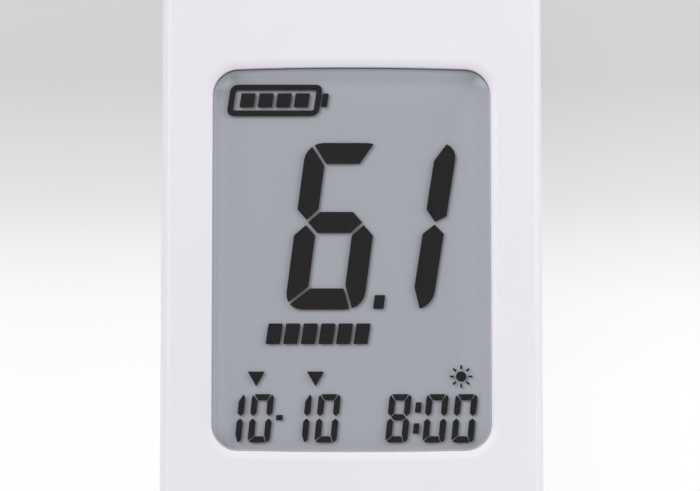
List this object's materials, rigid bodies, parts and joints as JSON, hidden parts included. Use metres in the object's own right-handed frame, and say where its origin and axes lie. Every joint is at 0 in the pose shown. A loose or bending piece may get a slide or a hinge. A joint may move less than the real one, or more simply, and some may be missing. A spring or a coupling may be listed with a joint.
{
  "type": "blood glucose meter",
  "caption": "Handheld blood glucose meter with a large segment display, press keys, a test-strip port and a sliding battery door.",
  "frame": {"origin": "middle of the surface that the meter lies on, under the centre of its length and width", "axes": "+X to the display's right, +Y towards the test-strip end, +Z out of the display"},
  "size_m": [0.046, 0.096, 0.019],
  "materials": {
    "case_white": "smooth glossy moulding, cool white",
    "key_grey": "smooth satin keycap",
    "key_blue": "smooth satin keycap",
    "lens_clear": "clear hard-coated acrylic",
    "display_glass": "clear float glass",
    "polariser_film": "clear film",
    "reflector_grey": "fine diffuse grey film",
    "foam_dark": "closed-cell foam",
    "tape_dark": "thin double-sided tape",
    "holder_white": "plain moulding",
    "elastomer": "layered silicone",
    "board_green": "solder mask on glass-epoxy board",
    "chip_black": "moulded epoxy",
    "ceramic_tan": "small fired ceramic parts",
    "tin_steel": "plain tinned metal",
    "gold_contact": "gold-plated spring metal",
    "cell_steel": "nickel-plated steel",
    "screw_steel": "zinc-plated steel",
    "rubber_grey": "soft matt elastomer",
    "label_white": "blank printed-film label",
    "bezel_grey": "fine-textured moulding",
    "switch_black": "moulded switch housing"
  },
  "bodies": {
    "case": {"front_housing": "case_white", "back_housing": "case_white", "display_lens": "lens_clear", "lens_tape": "tape_dark", "display_gasket": "foam_dark", "front_polariser": "polariser_film", "front_glass": "display_glass", "back_glass": "display_glass", "reflector": "reflector_grey", "display_holder": "holder_white", "elastomeric_connector": "elastomer", "main_switch_body": "switch_black", "left_switch_body": "switch_black", "right_switch_body": "switch_black", "main_board": "board_green", "microcontroller": "chip_black", "strip_amplifier": "chip_black", "memory_chip": "chip_black", "crystal": "tin_steel", "chip_components": "ceramic_tan", "buzzer": "chip_black", "strip_connector": "chip_black", "strip_contacts": "gold_contact", "strip_port_bezel": "bezel_grey", "data_socket": "chip_black", "socket_sleeve": "tin_steel", "upper_coin_cell": "cell_steel", "lower_coin_cell": "cell_steel", "negative_contacts": "gold_contact", "positive_contacts": "gold_contact", "case_screws": "screw_steel", "feet": "rubber_grey", "back_label": "label_white"},
    "battery_door": {"battery_door": "case_white"},
    "main_key": {"main_key": "key_blue", "main_switch_stem": "tin_steel"},
    "left_key": {"left_key": "key_grey", "left_switch_stem": "tin_steel"},
    "right_key": {"right_key": "key_grey", "right_switch_stem": "tin_steel"}
  },
  "joints": [
    {"name": "main_key_press", "type": "slide", "parent": "case", "child": "main_key", "axis": [0, 0, -1], "range_m": [0, 0.0005], "stiffness_N_per_m": 2000},
    {"name": "left_key_press", "type": "slide", "parent": "case", "child": "left_key", "axis": [0, 0, -1], "range_m": [0, 0.0005], "stiffness_N_per_m": 2000},
    {"name": "right_key_press", "type": "slide", "parent": "case", "child": "right_key", "axis": [0, 0, -1], "range_m": [0, 0.0005], "stiffness_N_per_m": 2000},
    {"name": "battery_door_slide", "type": "slide", "parent": "case", "child": "battery_door", "axis": [0, -1, 0], "range_m": [0, 0.042]}
  ]
}
